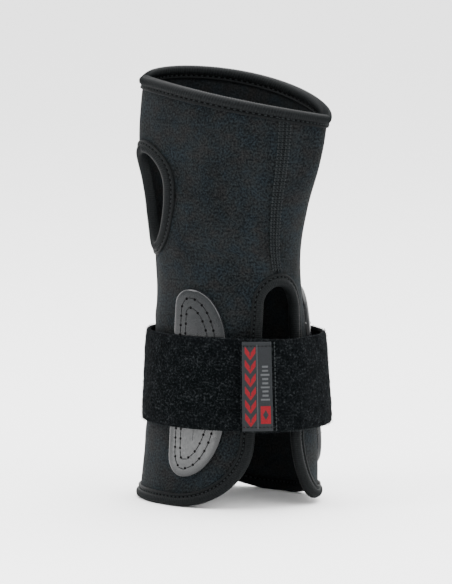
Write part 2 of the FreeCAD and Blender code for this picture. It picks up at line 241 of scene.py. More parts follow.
def normals_of(point_at, phi, z, off):
    """Outward unit normals and the point on a face."""
    p = point_at(phi, z, off)
    q = point_at(phi, z, off + 1.0)
    side = point_at(phi + 0.5, z, off) - point_at(phi - 0.5, z, off)
    rise = point_at(phi, z + 0.5, off) - point_at(phi, z - 0.5, off)
    n = np.cross(side, rise)
    n = n / np.linalg.norm(n, axis=-1, keepdims=True)
    flip = np.sign((n * (q - p)).sum(-1, keepdims=True))
    return p, n * flip


def resampled(line, reach, marks):
    """Points of a flat line at the distances in marks; reach is the distance to each of its own points."""
    return np.stack([np.interp(marks, reach, line[:, 0]), np.interp(marks, reach, line[:, 1])], axis=-1)


# ---------------------------------------------------------------- materials
def shader(name, roughness, specular=0.3, sheen=0.0, sheen_rough=0.5, coat=0.0):
    mat = bpy.data.materials.new(name)
    mat.use_nodes = True
    nodes = mat.node_tree.nodes
    bsdf = nodes["Principled BSDF"]
    bsdf.inputs["Roughness"].default_value = roughness
    bsdf.inputs["Specular IOR Level"].default_value = specular
    bsdf.inputs["Sheen Weight"].default_value = sheen
    bsdf.inputs["Sheen Roughness"].default_value = sheen_rough
    bsdf.inputs["Coat Weight"].default_value = coat
    return mat, nodes, mat.node_tree.links, bsdf


def scaled_uv(nodes, links, sx, sy):
    """The piece's own coordinates, sx and sy periods per millimetre."""
    uv = nodes.new("ShaderNodeUVMap")
    uv.uv_map = "cloth_mm"
    mapping = nodes.new("ShaderNodeMapping")
    mapping.inputs["Scale"].default_value = (sx * 100.0, sy * 100.0, 1.0)
    links.new(uv.outputs["UV"], mapping.inputs["Vector"])
    return mapping.outputs["Vector"]


def noise_tex(nodes, links, vector, detail=2.0, rough=0.5, scale=1.0):
    n = nodes.new("ShaderNodeTexNoise")
    n.inputs["Scale"].default_value = scale
    n.inputs["Detail"].default_value = detail
    n.inputs["Roughness"].default_value = rough
    links.new(vector, n.inputs["Vector"])
    return n.outputs["Fac"]


def ramp(nodes, links, fac, stops):
    r = nodes.new("ShaderNodeValToRGB")
    while len(r.color_ramp.elements) < len(stops):
        r.color_ramp.elements.new(0.5)
    for element, (pos, color) in zip(r.color_ramp.elements, stops):
        element.position = pos
        element.color = (*color, 1.0)
    links.new(fac, r.inputs["Fac"])
    return r.outputs["Color"]


def maths(nodes, links, operation, a, b):
    m = nodes.new("ShaderNodeMath")
    m.operation = operation
    for i, v in enumerate((a, b)):
        if isinstance(v, (int, float)):
            m.inputs[i].default_value = v
        else:
            links.new(v, m.inputs[i])
    return m.outputs[0]


def mix_color(nodes, links, fac, a, b, mode="MIX"):
    m = nodes.new("ShaderNodeMix")
    m.data_type = "RGBA"
    m.blend_type = mode
    if isinstance(fac, (int, float)):
        m.inputs["Factor"].default_value = fac
    else:
        links.new(fac, m.inputs["Factor"])
    for key, v in ((6, a), (7, b)):
        if isinstance(v, tuple):
            m.inputs[key].default_value = (*v, 1.0)
        else:
            links.new(v, m.inputs[key])
    return m.outputs[2]


def bump(nodes, links, height, bsdf, strength, distance):
    b = nodes.new("ShaderNodeBump")
    b.inputs["Strength"].default_value = strength
    b.inputs["Distance"].default_value = distance
    links.new(height, b.inputs["Height"])
    links.new(b.outputs["Normal"], bsdf.inputs["Normal"])


def knit_material(name, dark, light, sheen):
    """Nylon jersey over foam: fine knitted columns, a mottled face and a soft bloom at the edges."""
    mat, nodes, links, bsdf = shader(name, 0.80, 0.05, sheen, 0.50)
    fine = noise_tex(nodes, links, scaled_uv(nodes, links, 0.95, 0.85), 3.0, 0.75)
    broad = noise_tex(nodes, links, scaled_uv(nodes, links, 0.055, 0.04), 2.0, 0.5)
    mottled = maths(nodes, links, "ADD", maths(nodes, links, "MULTIPLY", fine, 0.84),
                    maths(nodes, links, "MULTIPLY", broad, 0.16))
    grey = ramp(nodes, links, mottled, ((0.41, dark), (0.59, light)))
    dye = noise_tex(nodes, links, scaled_uv(nodes, links, 0.10, 0.10), 3.0, 0.6)
    warm_to_cool = ((0.36, (1.14, 0.96, 0.90)), (0.50, (1.0, 1.0, 1.0)), (0.64, (0.86, 1.0, 1.12)))
    cast = ramp(nodes, links, dye, warm_to_cool)
    color = mix_color(nodes, links, 1.0, grey, cast, "MULTIPLY")
    links.new(color, bsdf.inputs["Base Color"])
    wave = nodes.new("ShaderNodeTexWave")
    wave.wave_type = "BANDS"
    wave.bands_direction = "X"
    wave.inputs["Scale"].default_value = 0.55
    wave.inputs["Distortion"].default_value = 0.6
    wave.inputs["Detail"].default_value = 1.0
    links.new(scaled_uv(nodes, links, 1.0, 1.0), wave.inputs["Vector"])
    height = maths(nodes, links, "ADD", maths(nodes, links, "MULTIPLY", wave.outputs["Fac"], 0.55), fine)
    bump(nodes, links, height, bsdf, 0.9, 0.00026)
    return mat


def tape_material(name, dark, light):
    """Elastic binding: close cross ribs, with painted highlight on the rib tops and painted shade in the
    grooves from the point colours.
    """
    mat, nodes, links, bsdf = shader(name, 0.58, 0.06, 0.01, 0.45)
    fine = noise_tex(nodes, links, scaled_uv(nodes, links, 1.6, 1.6), 2.0, 0.6)
    # point colours of painted light: highlight on the rib tops, shade between ribs, in the sewn groove and
    # along the edge
    rib = nodes.new("ShaderNodeAttribute")
    rib.attribute_name = "rib_painted_shade"
    yarn = ramp(nodes, links, fine, ((0.32, dark), (0.68, light)))
    color = mix_color(nodes, links, 1.0, yarn, rib.outputs["Color"], "MULTIPLY")
    links.new(color, bsdf.inputs["Base Color"])
    bump(nodes, links, fine, bsdf, 0.4, 0.00012)
    return mat


def thread_material(name, color, gloss=0.55, specular=0.08):
    mat, nodes, links, bsdf = shader(name, gloss, specular, 0.0, 0.4)
    fine = noise_tex(nodes, links, scaled_uv(nodes, links, 3.0, 3.0), 1.0, 0.5)
    low = tuple(c * 0.7 for c in color)
    high = tuple(c * 1.35 for c in color)
    links.new(ramp(nodes, links, fine, ((0.35, low), (0.65, high))), bsdf.inputs["Base Color"])
    return mat


def plastic_material(name):
    """Moulded grey plastic with a faint flow texture and handling scuffs."""
    mat, nodes, links, bsdf = shader(name, 0.20, 0.34, 0.0, 0.5, 0.0)
    cloud = noise_tex(nodes, links, scaled_uv(nodes, links, 0.045, 0.045), 3.0, 0.5)
    grain = noise_tex(nodes, links, scaled_uv(nodes, links, 0.5, 0.5), 2.0, 0.5)
    color = ramp(nodes, links, cloud, ((0.35, (0.0072, 0.0082, 0.0090)), (0.68, (0.0112, 0.0124, 0.0133))))
    links.new(color, bsdf.inputs["Base Color"])
    rough = ramp(nodes, links, grain, ((0.35, (0.15, 0.15, 0.15)), (0.7, (0.23, 0.23, 0.23))))
    links.new(rough, bsdf.inputs["Roughness"])
    bump(nodes, links, cloud, bsdf, 0.25, 0.0004)
    return mat


def pile_material(name):
    """Brushed loop pile: nearly black with scattered grey fibre specks."""
    mat, nodes, links, bsdf = shader(name, 0.95, 0.02, 0.0, 0.5)
    fuzz = noise_tex(nodes, links, scaled_uv(nodes, links, 0.85, 0.85), 4.0, 0.75)
    clump = noise_tex(nodes, links, scaled_uv(nodes, links, 0.16, 0.16), 2.0, 0.6)
    mixed = maths(nodes, links, "ADD", maths(nodes, links, "MULTIPLY", fuzz, 0.8),
                  maths(nodes, links, "MULTIPLY", clump, 0.2))
    stops = (
        (0.40, (0.0005, 0.0008, 0.0009)),
        (0.53, (0.0020, 0.0027, 0.0031)),
        (0.66, (0.0200, 0.0220, 0.0235)),
    )
    links.new(ramp(nodes, links, mixed, stops), bsdf.inputs["Base Color"])
    bump(nodes, links, fuzz, bsdf, 0.9, 0.0007)
    return mat


KNIT = knit_material("neoprene_jersey", (0.0004, 0.0010, 0.0013), (0.0104, 0.0128, 0.0138), 0.004)
LINING = knit_material("neoprene_lining", (0.0034, 0.0044, 0.0049), (0.0110, 0.0128, 0.0138), 0.008)
TAPE = tape_material("elastic_binding", (0.0014, 0.0019, 0.0021), (0.0050, 0.0060, 0.0064))
THREAD = thread_material("sewing_thread", (0.0021, 0.0025, 0.0028))
SEAM_THREAD = thread_material("seam_thread", (0.0120, 0.0142, 0.0150))
# near-black painted shade, used for needle holes, gaps between stitches and the seam's butt groove
GAP_SHADE = thread_material("painted_gap_shade", (0.0010, 0.0010, 0.0012), 0.95, 0.05)
PLASTIC = plastic_material("splint_plastic")
PILE = pile_material("loop_pile")
FIBRE = thread_material("pile_fibre", (0.0120, 0.0138, 0.0150), 0.9, 0.03)


# ---------------------------------------------------------------- neoprene sleeve
COLUMNS = 241


def sleeve_grid():
    """Rows of (angle, height): the cuff up to the slit's top, then the closed sleeve to the slanting rim."""
    cuff_t = np.concatenate([np.linspace(3.0, 2.0, 30)[:-1], np.linspace(2.0, 1.0, 50)[:-1],
                             np.linspace(1.0, 0.03, 14)])
    phis = []
    zs = []
    turn = np.linspace(0.0, 1.0, COLUMNS)
    for t in cuff_t:
        pa, za = slit_edge(1, t)
        pb, _ = slit_edge(-1, t)
        phi = pa + (pb + 360.0 - pa) * turn
        phis.append(phi)
        zs.append(lifted(phi, np.full(COLUMNS, float(za))))
    for f in np.linspace(0.012, 1.0, 76):
        guess = WRIST_LOW + f * (HAND_HEIGHT - WRIST_LOW)
        phi = seam_phi(guess) + 360.0 * turn
        phis.append(phi)
        zs.append(WRIST_LOW + f * (rim_height(phi) - WRIST_LOW))
    return np.array(phis), np.array(zs)


def thumb_radius(phi, z):
    away = np.mod(phi - THUMB_PHI + 180.0, 360.0) - 180.0
    u = away / THUMB_HALF
    v = (z - THUMB_Z) / np.where(z > THUMB_Z, THUMB_UP, THUMB_DOWN)
    return np.hypot(u, v), u, v


def splint_keep(phi, z):
    """1 near a splint, where the cloth lies flat under it, easing to 0 away from it."""
    keep = np.zeros_like(z)
    for middle in (DORSAL_PHI, PALMAR_PHI):
        away = np.abs(np.mod(phi - middle + 180.0, 360.0) - 180.0)
        side = np.clip((34.0 - away) / 8.0, 0, 1)
        tall = np.clip((z - 10.0) / 5.0, 0, 1) * np.clip((121.0 - z) / 5.0, 0, 1)
        keep = np.maximum(keep, side * tall)
    return keep


def cloth_relief(phi, z):
    """Small hollows of worn foam cloth, never proud of the pattern surface under the splints."""
    p = sleeve(phi, z)
    broad = wobble(p, 34.0, 1.0)
    small = wobble(p, 13.0, 2.0)
    relief = -0.20 + 0.42 * broad + 0.14 * small
    # the strap squeezes a waist and the cloth swells just beyond both of its edges
    relief += -0.7 * np.exp(-((z - 66.0) / 16.0) ** 2)
    relief += 0.55 * np.exp(-((z - 98.0) / 5.0) ** 2) + 0.5 * np.exp(-((z - 36.0) / 6.0) ** 2)
    # soft pull lines fan out from the thumb hole and from the top of the slit
    r, u, v = thumb_radius(phi, z)
    fan = np.sin(np.arctan2(v, u) * 9.0) * np.exp(-((r - 1.45) / 0.33) ** 2)
    relief += 0.16 * fan
    ds = (phi - 58.2) * 0.70
    dz = z - SLIT_ARCH_Z
    away = np.hypot(ds, dz)
    relief += 0.15 * np.sin(np.arctan2(dz, ds) * 10.0) * np.exp(-((away - 24.0) / 6.0) ** 2) * (dz > -8)
    # puckers beside the seam
    side = (np.mod(phi - seam_phi(z) + 180.0, 360.0) - 180.0) * 0.75
    pucker = np.sin(z * 2 * math.pi / 5.6 + 1.7 * wobble(p, 20.0, 5.0))
    relief += 0.13 * pucker * np.exp(-(side / 5.5) ** 2) * (z > WRIST_LOW)
    relief = np.minimum(relief, 0.35)
    keep = splint_keep(phi, z)
    return relief * (1 - keep) + np.minimum(relief, -0.10) * keep


phis, zs = sleeve_grid()
rows = len(phis)
radius, _, _ = thumb_radius(phis, zs)
inside = radius < 1.0
cells = grid_faces(rows, COLUMNS)
flat_inside = inside.ravel()
cells = cells[~flat_inside[cells].all(axis=1)]
snap = np.where(inside & (radius > 0.2), 1.0 / np.maximum(radius, 0.2), 1.0)
near = np.zeros(rows * COLUMNS, bool)
near[cells.ravel()] = True
snap = np.where(near.reshape(rows, COLUMNS), snap, 1.0)
away = np.mod(phis - THUMB_PHI + 180.0, 360.0) - 180.0
phis = phis + away * (snap - 1.0)
zs = zs + (zs - THUMB_Z) * (snap - 1.0)

relief = cloth_relief(phis, zs)
outer = sleeve(phis, zs, relief)
# the inner skin is one cloth thickness in and follows the outer relief at six tenths of its depth
inner = sleeve(phis, zs, relief * 0.6 - CLOTH)
steps = np.linalg.norm(np.diff(outer, axis=1), axis=2)
arc = np.concatenate([np.zeros((rows, 1)), np.cumsum(steps, axis=1)], axis=1)
arc = arc - arc[:, [COLUMNS // 2]]
flat_uv = np.stack([arc, zs], axis=-1).reshape(-1, 2)

count = rows * COLUMNS
edge_use = {}
for a, b, c, d in cells.tolist():
    for p, q in ((a, b), (b, c), (c, d), (d, a)):
        edge_use[(p, q)] = 1
rim_faces = [[q, p, p + count, q + count] for p, q in edge_use if (q, p) not in edge_use]
all_faces = [list(f) for f in cells.tolist()]
inner_faces = [[d + count, c + count, b + count, a + count] for a, b, c, d in cells.tolist()]
both_skins = np.concatenate([outer.reshape(-1, 3), inner.reshape(-1, 3)])
sleeve_piece = new_piece("neoprene_sleeve", both_skins, all_faces + inner_faces + rim_faces,
                         np.concatenate([flat_uv, flat_uv]), KNIT, (LINING,))
for polygon in sleeve_piece.data.polygons[len(all_faces):len(all_faces) + len(inner_faces)]:
    polygon.material_index = 1


def drop_loose(obj):
    """Removes points that no face uses."""
    used = np.zeros(len(obj.data.vertices), bool)
    for polygon in obj.data.polygons:
        for v in polygon.vertices:
            used[v] = True
    bm = bmesh.new()
    bm.from_mesh(obj.data)
    bm.verts.ensure_lookup_table()
    bmesh.ops.delete(bm, geom=[v for v in bm.verts if not v.link_faces], context="VERTS")
    bm.normal_update()
    bm.to_mesh(obj.data)
    bm.free()


drop_loose(sleeve_piece)

# ---------------------------------------------------------------- bindings
# Section of the folded tape from its outer sewn edge, round the bead and back inside:
# width in from the fold, height off the cloth.
TAPE_SECTION = [
    (5.35, -0.10, 0.0), (5.32, 0.62, 0.0), (5.10, 0.92, 0.3), (4.60, 1.02, 0.5), (4.15, 0.88, 0.4),
    (3.80, 0.42, 0.1), (3.50, 0.28, 0.0), (3.20, 0.50, 0.2), (2.90, 1.05, 0.6), (2.40, 1.50, 1.0),
    (1.60, 1.78, 1.0), (0.70, 1.82, 1.0), (-0.10, 1.60, 1.0), (-0.80, 1.10, 1.0), (-1.35, 0.30, 1.0),
    (-1.62, -0.70, 1.0), (-1.66, -1.60, 1.0), (-1.55, -2.60, 1.0), (-1.20, -3.50, 1.0), (-0.60, -4.25, 1.0),
    (0.20, -4.65, 1.0), (1.20, -4.80, 1.0), (2.20, -4.62, 1.0), (2.90, -4.10, 0.6), (3.20, -3.60, 0.2),
    (3.50, -3.38, 0.0), (3.80, -3.50, 0.1), (4.15, -3.95, 0.4), (4.70, -4.08, 0.5), (5.20, -3.80, 0.3),
    (5.32, -3.00, 0.0),
]
RIB_PITCH = 1.05
RIB_SAMPLES = 4


def edge_frame(path, closed_shift, scale=0.70):
    """Per point of an edge path (angle, height): unit step across the cloth, in from the edge."""
    before = np.roll(path, 1, axis=0)
    after = np.roll(path, -1, axis=0)
    before[0, 0] -= closed_shift
    after[-1, 0] += closed_shift
    d = after - before
    ds = d[:, 0] * scale
    dz = d[:, 1]
    run = np.hypot(ds, dz)
    return np.stack([dz / run / scale, -ds / run], axis=-1)


def evenly(path, closed_shift, pitch, scale=0.70):
    """Resamples a closed path at equal steps close to pitch millimetres."""
    end = path[:1] + np.array([[closed_shift, 0.0]])
    full = np.concatenate([path, end])
    reach = np.concatenate([[0.0], np.cumsum(np.hypot(np.diff(full[:, 0]) * scale, np.diff(full[:, 1])))])
    n = int(round(reach[-1] / pitch))
    marks = np.arange(n) * reach[-1] / n
    return resampled(full, reach, marks), reach[-1] / n


def folded_tape(name, path, closed_shift, lift, side=1.0, scale=0.70):
    """Ribbed tape folded over an edge, with its sewn groove, and the stitches lying in the groove."""
    fine, step = evenly(path, closed_shift, RIB_PITCH / RIB_SAMPLES, scale)
    fine = fine[: len(fine) // RIB_SAMPLES * RIB_SAMPLES]
    across = edge_frame(fine, closed_shift, scale) * side
    n = len(fine)
    phase = 0.5 + 0.5 * np.cos(2 * math.pi * np.arange(n) / RIB_SAMPLES)
    slow = wobble(np.stack([np.arange(n) * step, np.zeros(n), np.zeros(n)], axis=-1), 9.0, 4.0)
    sections = []
    for w, off, rib in TAPE_SECTION:
        wide = w + 0.10 * slow * (w > 3)
        phi = fine[:, 0] + across[:, 0] * wide
        z = fine[:, 1] + across[:, 1] * wide
        z = lift(phi, z)
        out = 1.0 if off > -1.5 else -1.0
        edge = 1.0 - abs(out * (off + 1.5)) / 3.2
        ribbing = 0.26 * rib * (phase - 0.5)
        sections.append(sleeve(phi, z, off + out * ribbing * (1 - max(0.0, edge)) + 0.05 * slow * rib))
        if edge > 0.5:
            phi2 = fine[:, 0] + across[:, 0] * (wide - ribbing)
            z2 = lift(phi2, fine[:, 1] + across[:, 1] * (wide - ribbing))
            sections[-1] = sleeve(phi2, z2, off)
    verts = np.stack(sections, axis=1)
    k = len(TAPE_SECTION)
    faces = grid_faces(n, k, wrap_rows=True)
    if side > 0:
        faces = faces[:, ::-1]
    along = np.repeat(np.arange(n) * step, k)
    round_it = np.tile(np.arange(k) * 0.55, n)
    tape_uv = np.stack([along, round_it], axis=-1)
    piece = new_piece(name, verts.reshape(-1, 3), faces.tolist(), tape_uv, TAPE)
    # painted light in the point colours: rib tops lighter, hollows between ribs darker, painted shade in the
    # sewn groove and a painted shadow line along the tape's outer edge
    ribs = np.array([point[2] for point in TAPE_SECTION])
    width_in = np.array([point[0] for point in TAPE_SECTION])
    groove = 1.0 - 0.62 * (np.abs(width_in - 3.5) < 0.45) - 0.25 * (width_in > 5.0)
    shade = (1.0 + ribs[None, :] * 0.85 * (phase[:, None] - 0.5)) * groove[None, :]
    rgba = np.ones((n * k, 4))
    rgba[:, :3] = shade.reshape(-1, 1)
    layer = piece.data.color_attributes.new("rib_painted_shade", "FLOAT_COLOR", "POINT")
    layer.data.foreach_set("color", rgba.ravel())
    marks, _ = evenly(path, closed_shift, 2.3, scale)
    turn = edge_frame(marks, closed_shift, scale) * side
    threads = []
    for label, w, off in (("outer", 3.52, 0.42), ("inner", 3.52, -3.52)):
        phi = marks[:, 0] + turn[:, 0] * w
        z = marks[:, 1] + turn[:, 1] * w
        z = lift(phi, z)
        p, normal = normals_of(sleeve, phi, z, off)
        d = np.roll(p, -1, axis=0) - np.roll(p, 1, axis=0)
        if off < 0:
            normal = -normal
        threads.append(capsules(name + "_stitches_" + label, p, d, normal, 1.55, 0.34, SEAM_THREAD))
        # dark capsules between the stitches: painted shade in the needle holes along the sewn groove
        middle = 0.5 * (p + np.roll(p, -1, axis=0))
        if closed_shift:
            middle[-1] = p[-1] + (p[-1] - middle[-2])
        dip = middle - normal * 0.10
        threads.append(capsules(name + "_needle_holes_" + label, dip, d, normal, 0.75, 0.40, GAP_SHADE, -0.1))
    return piece, threads


def no_lift(phi, z):
    return z


down_slit = np.concatenate([np.linspace(0.0, 1.0, 60), np.linspace(1.0, 3.0, 200)[1:]])
up_slit = np.concatenate([np.linspace(3.0, 1.0, 200), np.linspace(1.0, 0.02, 60)[1:]])
cuff_edge = np.concatenate([
    np.stack(slit_edge(-1, down_slit), axis=-1),
    np.stack(slit_edge(1, up_slit), axis=-1)
    - np.array([360.0, 0.0]),
])
cuff_tape, cuff_threads = folded_tape("cuff_binding_tape", cuff_edge, -360.0, lifted)
rim_angles = np.linspace(0.0, 360.0, 721)[:-1] + 40.0
rim_edge = np.stack([rim_angles, rim_height(rim_angles)], axis=-1)
rim_tape, rim_threads = folded_tape("finger_binding_tape", rim_edge, 360.0, no_lift, 1.0, 0.60)
turns = np.radians(np.linspace(90.0, 450.0, 361)[:-1])
thumb_edge = np.stack([THUMB_PHI + THUMB_HALF * np.cos(turns),
                       THUMB_Z + np.where(np.sin(turns) > 0, THUMB_UP, THUMB_DOWN) * np.sin(turns)], axis=-1)
thumb_tape, thumb_threads = folded_tape("thumb_binding_tape", thumb_edge, 0.0, no_lift, 1.0, 0.62)

# ---------------------------------------------------------------- flatlock seam


def seam_stitches():
    """Four needle rows of vertical stitches and the covering threads that cross between them."""
    z = np.arange(126.0, 207.0, 1.9)
    columns = (-2.85, -0.95, 0.95, 2.85)
    centres, along, normal = [], [], []
    cross_c, cross_d, cross_n = [], [], []
    for i, s in enumerate(columns):
        phi = seam_phi(z) + s / 0.72
        p, n = normals_of(sleeve, phi, z, 0.30)
        q = sleeve(seam_phi(z + 1) + s / 0.72, z + 1, 0.30)
        centres.append(p)
        along.append(q - p)
        normal.append(n)
    for i in range(3):
        for k in (0.25, 0.75):
            zz = z + 1.9 * k
            a, n = normals_of(sleeve, seam_phi(zz) + columns[i] / 0.72, zz - 0.4, 0.12)
            b = sleeve(seam_phi(zz) + columns[i + 1] / 0.72, zz + 0.4, 0.12)
            cross_c.append(0.5 * (a + b))
            cross_d.append(b - a)
            cross_n.append(n)
    rows_piece = capsules("seam_needle_rows", np.concatenate(centres), np.concatenate(along),
                          np.concatenate(normal), 1.35, 0.38, SEAM_THREAD, 0.12)
    cross_piece = capsules("seam_cover_threads", np.concatenate(cross_c), np.concatenate(cross_d),
                           np.concatenate(cross_n), 1.95, 0.20, SEAM_THREAD)
    return rows_piece, cross_piece


seam_rows, seam_cover = seam_stitches()
# near-black strip down the seam's butt groove: painted shade
z = np.linspace(121.0, 209.0, 90)
groove = []
for s, off in ((-0.55, 0.10), (-0.22, 0.16), (0.0, -0.55), (0.22, 0.16), (0.55, 0.10)):
    groove.append(sleeve(seam_phi(z) + s / 0.72, z, off))
groove = np.stack(groove, axis=1)
seam_butt = new_piece("seam_groove_shade", groove.reshape(-1, 3), grid_faces(len(z), 5)[:, ::-1].tolist(),
                      np.stack([np.tile(np.arange(5) * 0.3, len(z)), np.repeat(z, 5)], axis=-1), GAP_SHADE)

# ---------------------------------------------------------------- splints


def quarter(cs, cz, rs, rz, first):
    t = np.radians(first - np.linspace(0.0, 90.0, 25))
    return np.stack([cs + rs * np.cos(t), cz + rz * np.sin(t)], axis=-1)


def splint_outline(inset, count=220, ends=0.0):
    """Plate outline moved in by inset, and by ends more at its two tips."""
    low = SPLINT_LOW + inset + ends
    high = SPLINT_HIGH - inset - ends
    left = max(9.0 - inset, 0.3)
    line = np.concatenate([
        quarter(-7.0, high - 8.5 + inset * 0.3, left, 8.5 - inset * 0.3, 180.0),
        quarter(-7.0, high - 32.0, 21.0 - inset, 32.0, 90.0),
        quarter(-7.0, low + 33.0, 22.2 - inset, 33.0, 0.0),
        quarter(-7.0, low + 11.0 - inset * 0.3, left, 11.0 - inset * 0.3, 270.0),
    ])
    full = np.concatenate([line, line[:1]])
    reach = np.concatenate([[0.0], np.cumsum(np.linalg.norm(np.diff(full, axis=0), axis=1))])
    marks = np.arange(count) * reach[-1] / count
    return resampled(full, reach, marks), reach[-1]


def leaning(line, mirror):
    """Distance beside the splint's middle plane; both plates lean a little from the top down."""
    return line[:, 0] * mirror + SPLINT_LEAN * (line[:, 1] - 100.0)


def splint_angle(s, z, middle):
    """Angle on the sleeve that lies s millimetres beside the splint's middle plane."""
    f = math.radians(middle)
    side = np.array([math.cos(f), math.sin(f)])
    origin = sleeve(middle, 66.0, -0.55 * float(station(66.0, 2)))[:2]
    phi = middle + s / 0.75
    for _ in range(7):
        h = (sleeve(phi, z)[..., :2] - origin) @ side
        g = (sleeve(phi + 0.2, z)[..., :2] - origin) @ side
        phi = phi + (s - h) / np.maximum((g - h) / 0.2, 0.15)
    return phi


def splint(name, middle, mirror):
    """Moulded plate: rounded bevelled edge, smooth face, two sewn rows with their needle holes."""
    rings = [(0.0, 0.0, 0.12), (0.0, 0.0, 1.15), (0.08, 0.0, 1.55), (0.25, 0.0, 1.85), (0.55, 0.0, 2.06),
             (0.95, 0.0, 2.18), (1.5, 0.0, 2.24), (2.3, 0.0, 2.27), (3.6, 0.0, 2.28), (5.2, 0.4, 2.29),
             (6.8, 1.2, 2.30), (8.2, 2.2, 2.31), (8.6, 2.6, 2.31)]
    verts = []
    uv = []
    for inset, ends, off in rings:
        line, _ = splint_outline(inset, ends=ends)
        phi = splint_angle(leaning(line, mirror), line[:, 1], middle)
        verts.append(sleeve(phi, line[:, 1], off))
        uv.append(line)
    core, _ = splint_outline(8.6, ends=2.6)
    for k in (0.75, 0.5, 0.25, 0.02):
        mid_z = np.clip(core[:, 1], SPLINT_LOW + 20.0, SPLINT_HIGH - 22.0)
        line = np.stack([-1.0 + (core[:, 0] + 1.0) * k, mid_z + (core[:, 1] - mid_z) * k], axis=-1)
        phi = splint_angle(leaning(line, mirror), line[:, 1], middle)
        verts.append(sleeve(phi, line[:, 1], 2.31 + 0.04 * (1 - k)))
        uv.append(line)
    n = len(verts[0])
    faces = grid_faces(len(verts), n, wrap_columns=True)
    if mirror < 0:
        faces = faces[:, ::-1]
    piece = new_piece(name, np.concatenate(verts), faces.tolist(), np.concatenate(uv), PLASTIC)
    sewn = []
    for row_name, inset, ends, pitch in (("outer", 4.6, 0.1, 5.0), ("inner", 7.7, 1.9, 5.0)):
        line, length = splint_outline(inset, 60, ends)
        count_row = int(round(length / pitch))
        line, _ = splint_outline(inset, count_row * 2, ends)
        phi = splint_angle(leaning(line, mirror), line[:, 1], middle)
        p, normal = normals_of(sleeve, phi, line[:, 1], 2.26)
        d = np.roll(p, -1, axis=0) - np.roll(p, 1, axis=0)
        row = name + "_" + row_name
        threads = capsules(row + "_stitches", p[0::2], d[0::2], normal[0::2], pitch * 0.9, 0.25, THREAD)
        # dark capsules between the stitches: painted shade in the needle holes
        sunk = p[1::2] + normal[1::2] * 0.12
        holes = capsules(row + "_needle_holes", sunk, d[1::2], normal[1::2], 1.75, 0.72, GAP_SHADE, -0.35)
        sewn.append((threads, holes))
    return piece, sewn


dorsal, dorsal_sewn = splint("dorsal_splint_plate", DORSAL_PHI, 1.0)
palmar, palmar_sewn = splint("palmar_splint_plate", PALMAR_PHI, -1.0)

# ---------------------------------------------------------------- closing strap
FOLD_A = 128.0
FOLD_B = 88.0
FOLD_C = 43.5
TAB_END = 18.5
FIXED_END = 37.0


